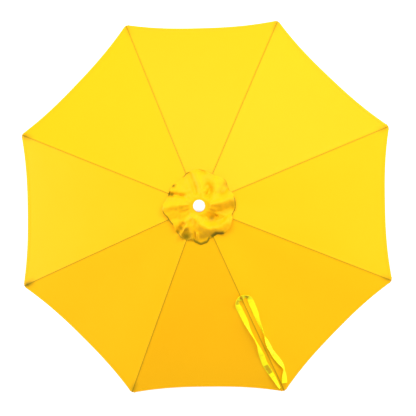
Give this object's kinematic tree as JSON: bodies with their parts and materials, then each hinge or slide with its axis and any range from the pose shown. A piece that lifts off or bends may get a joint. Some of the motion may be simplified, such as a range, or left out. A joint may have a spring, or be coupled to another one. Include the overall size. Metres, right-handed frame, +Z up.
{
  "type": "beach umbrella",
  "caption": "Beach umbrella with a vented octagonal cloth canopy, folding ribs, a tilting telescopic pole and a ground spike.",
  "frame": {"origin": "end of the ground spike, on the pole's axis, centre of the bounding box's base", "axes": "+Z up along the pole; X is the tilt direction, and the clamp screw points along -X; the ribs lie 22.5 degrees off X and every 45 degrees"},
  "size_m": [1.8512, 1.8512, 2.225],
  "materials": {
    "white_paint": "white powder coat",
    "white_plastic": "moulded white plastic",
    "steel": "plain steel",
    "yellow_canopy": "woven yellow canopy cloth, matt",
    "lemon_webbing": "satin lemon webbing"
  },
  "bodies": {
    "lower_pole": {"lower_pole_tube": "white_paint", "ground_spike": "white_plastic", "clamp_collar": "white_plastic"},
    "clamp_screw": {"clamp_screw": "white_plastic"},
    "inner_pole": {"inner_pole_tube": "white_paint", "tilt_fork": "white_plastic", "tilt_pin": "steel"},
    "tilt_button": {"tilt_button": "steel"},
    "upper_pole": {"upper_pole_tube": "white_paint", "tilt_tongue": "white_plastic", "crown_hub": "white_plastic", "crown_ring": "steel", "crown_washer": "white_plastic", "finial": "white_plastic", "vent_cap": "yellow_canopy"},
    "runner": {"runner": "white_plastic"},
    "runner_button": {"runner_button": "steel"},
    "rib_1": {"rib_1": "white_paint", "rib_tip_1": "white_plastic", "rib_bracket_1": "white_paint", "canopy_gore_1": "yellow_canopy"},
    "stretcher_1": {"stretcher_1": "white_paint"},
    "rib_2": {"rib_2": "white_paint", "rib_tip_2": "white_plastic", "rib_bracket_2": "white_paint", "canopy_gore_2": "yellow_canopy"},
    "stretcher_2": {"stretcher_2": "white_paint"},
    "rib_3": {"rib_3": "white_paint", "rib_tip_3": "white_plastic", "rib_bracket_3": "white_paint", "canopy_gore_3": "yellow_canopy"},
    "stretcher_3": {"stretcher_3": "white_paint"},
    "rib_4": {"rib_4": "white_paint", "rib_tip_4": "white_plastic", "rib_bracket_4": "white_paint", "canopy_gore_4": "yellow_canopy"},
    "stretcher_4": {"stretcher_4": "white_paint"},
    "rib_5": {"rib_5": "white_paint", "rib_tip_5": "white_plastic", "rib_bracket_5": "white_paint", "canopy_gore_5": "yellow_canopy"},
    "stretcher_5": {"stretcher_5": "white_paint"},
    "rib_6": {"rib_6": "white_paint", "rib_tip_6": "white_plastic", "rib_bracket_6": "white_paint", "canopy_gore_6": "yellow_canopy"},
    "stretcher_6": {"stretcher_6": "white_paint"},
    "rib_7": {"rib_7": "white_paint", "rib_tip_7": "white_plastic", "rib_bracket_7": "white_paint", "canopy_gore_7": "yellow_canopy", "tie_strap": "lemon_webbing"},
    "stretcher_7": {"stretcher_7": "white_paint"},
    "rib_8": {"rib_8": "white_paint", "rib_tip_8": "white_plastic", "rib_bracket_8": "white_paint", "canopy_gore_8": "yellow_canopy"},
    "stretcher_8": {"stretcher_8": "white_paint"}
  },
  "joints": [
    {"name": "clamp_screw_turn", "type": "hinge", "parent": "lower_pole", "child": "clamp_screw", "pos_m": [-0.0143, 0, 0.798], "axis": [-1, 0, 0], "range_deg": [0, 540]},
    {"name": "height_adjust", "type": "slide", "parent": "lower_pole", "child": "inner_pole", "axis": [0, 0, 1], "range_m": [-0.24, 0]},
    {"name": "tilt", "type": "hinge", "parent": "inner_pole", "child": "upper_pole", "pos_m": [0, 0, 1.11], "axis": [0, 1, 0], "range_deg": [0, 40]},
    {"name": "tilt_button_press", "type": "slide", "parent": "inner_pole", "child": "tilt_button", "axis": [1, 0, 0], "range_m": [0, 0.004], "stiffness_N_per_m": 800, "springref_m": -0.002},
    {"name": "runner_slide", "type": "slide", "parent": "upper_pole", "child": "runner", "axis": [0, 0, -1], "range_m": [0, 0.43631]},
    {"name": "runner_button_press", "type": "slide", "parent": "runner", "child": "runner_button", "axis": [1, 0, 0], "range_m": [0, 0.003], "stiffness_N_per_m": 800, "springref_m": -0.002},
    {"name": "rib_hinge_1", "type": "hinge", "parent": "upper_pole", "child": "rib_1", "pos_m": [0.02402, 0.00995, 2.2], "axis": [-0.3827, 0.9239, 0], "range_deg": [0, 68.01], "deforming": ["canopy_gore_1"]},
    {"name": "stretcher_hinge_1", "type": "hinge", "parent": "rib_1", "child": "stretcher_1", "pos_m": [0.3406, 0.14108, 2.08977], "axis": [0.3827, -0.9239, 0], "range_deg": [0, 125.1]},
    {"name": "rib_hinge_2", "type": "hinge", "parent": "upper_pole", "child": "rib_2", "pos_m": [0.00995, 0.02402, 2.2], "axis": [-0.9239, 0.3827, 0], "range_deg": [0, 68.01], "deforming": ["canopy_gore_2"]},
    {"name": "stretcher_hinge_2", "type": "hinge", "parent": "rib_2", "child": "stretcher_2", "pos_m": [0.14108, 0.3406, 2.08977], "axis": [0.9239, -0.3827, 0], "range_deg": [0, 125.1]},
    {"name": "rib_hinge_3", "type": "hinge", "parent": "upper_pole", "child": "rib_3", "pos_m": [-0.00995, 0.02402, 2.2], "axis": [-0.9239, -0.3827, 0], "range_deg": [0, 68.01], "deforming": ["canopy_gore_3"]},
    {"name": "stretcher_hinge_3", "type": "hinge", "parent": "rib_3", "child": "stretcher_3", "pos_m": [-0.14108, 0.3406, 2.08977], "axis": [0.9239, 0.3827, 0], "range_deg": [0, 125.1]},
    {"name": "rib_hinge_4", "type": "hinge", "parent": "upper_pole", "child": "rib_4", "pos_m": [-0.02402, 0.00995, 2.2], "axis": [-0.3827, -0.9239, 0], "range_deg": [0, 68.01], "deforming": ["canopy_gore_4"]},
    {"name": "stretcher_hinge_4", "type": "hinge", "parent": "rib_4", "child": "stretcher_4", "pos_m": [-0.3406, 0.14108, 2.08977], "axis": [0.3827, 0.9239, 0], "range_deg": [0, 125.1]},
    {"name": "rib_hinge_5", "type": "hinge", "parent": "upper_pole", "child": "rib_5", "pos_m": [-0.02402, -0.00995, 2.2], "axis": [0.3827, -0.9239, 0], "range_deg": [0, 68.01], "deforming": ["canopy_gore_5"]},
    {"name": "stretcher_hinge_5", "type": "hinge", "parent": "rib_5", "child": "stretcher_5", "pos_m": [-0.3406, -0.14108, 2.08977], "axis": [-0.3827, 0.9239, 0], "range_deg": [0, 125.1]},
    {"name": "rib_hinge_6", "type": "hinge", "parent": "upper_pole", "child": "rib_6", "pos_m": [-0.00995, -0.02402, 2.2], "axis": [0.9239, -0.3827, 0], "range_deg": [0, 68.01], "deforming": ["canopy_gore_6"]},
    {"name": "stretcher_hinge_6", "type": "hinge", "parent": "rib_6", "child": "stretcher_6", "pos_m": [-0.14108, -0.3406, 2.08977], "axis": [-0.9239, 0.3827, 0], "range_deg": [0, 125.1]},
    {"name": "rib_hinge_7", "type": "hinge", "parent": "upper_pole", "child": "rib_7", "pos_m": [0.00995, -0.02402, 2.2], "axis": [0.9239, 0.3827, 0], "range_deg": [0, 68.01], "deforming": ["canopy_gore_7"]},
    {"name": "stretcher_hinge_7", "type": "hinge", "parent": "rib_7", "child": "stretcher_7", "pos_m": [0.14108, -0.3406, 2.08977], "axis": [-0.9239, -0.3827, 0], "range_deg": [0, 125.1]},
    {"name": "rib_hinge_8", "type": "hinge", "parent": "upper_pole", "child": "rib_8", "pos_m": [0.02402, -0.00995, 2.2], "axis": [0.3827, 0.9239, 0], "range_deg": [0, 68.01], "deforming": ["canopy_gore_8"]},
    {"name": "stretcher_hinge_8", "type": "hinge", "parent": "rib_8", "child": "stretcher_8", "pos_m": [0.3406, -0.14108, 2.08977], "axis": [-0.3827, -0.9239, 0], "range_deg": [0, 125.1]}
  ],
  "couplings": [
    {"joint": "rib_hinge_1", "follows": "runner_slide", "rad_per_m": 2.7201},
    {"joint": "stretcher_hinge_1", "follows": "runner_slide", "rad_per_m": 5.0035},
    {"joint": "rib_hinge_2", "follows": "runner_slide", "rad_per_m": 2.7201},
    {"joint": "stretcher_hinge_2", "follows": "runner_slide", "rad_per_m": 5.0035},
    {"joint": "rib_hinge_3", "follows": "runner_slide", "rad_per_m": 2.7201},
    {"joint": "stretcher_hinge_3", "follows": "runner_slide", "rad_per_m": 5.0035},
    {"joint": "rib_hinge_4", "follows": "runner_slide", "rad_per_m": 2.7201},
    {"joint": "stretcher_hinge_4", "follows": "runner_slide", "rad_per_m": 5.0035},
    {"joint": "rib_hinge_5", "follows": "runner_slide", "rad_per_m": 2.7201},
    {"joint": "stretcher_hinge_5", "follows": "runner_slide", "rad_per_m": 5.0035},
    {"joint": "rib_hinge_6", "follows": "runner_slide", "rad_per_m": 2.7201},
    {"joint": "stretcher_hinge_6", "follows": "runner_slide", "rad_per_m": 5.0035},
    {"joint": "rib_hinge_7", "follows": "runner_slide", "rad_per_m": 2.7201},
    {"joint": "stretcher_hinge_7", "follows": "runner_slide", "rad_per_m": 5.0035},
    {"joint": "rib_hinge_8", "follows": "runner_slide", "rad_per_m": 2.7201},
    {"joint": "stretcher_hinge_8", "follows": "runner_slide", "rad_per_m": 5.0035}
  ]
}
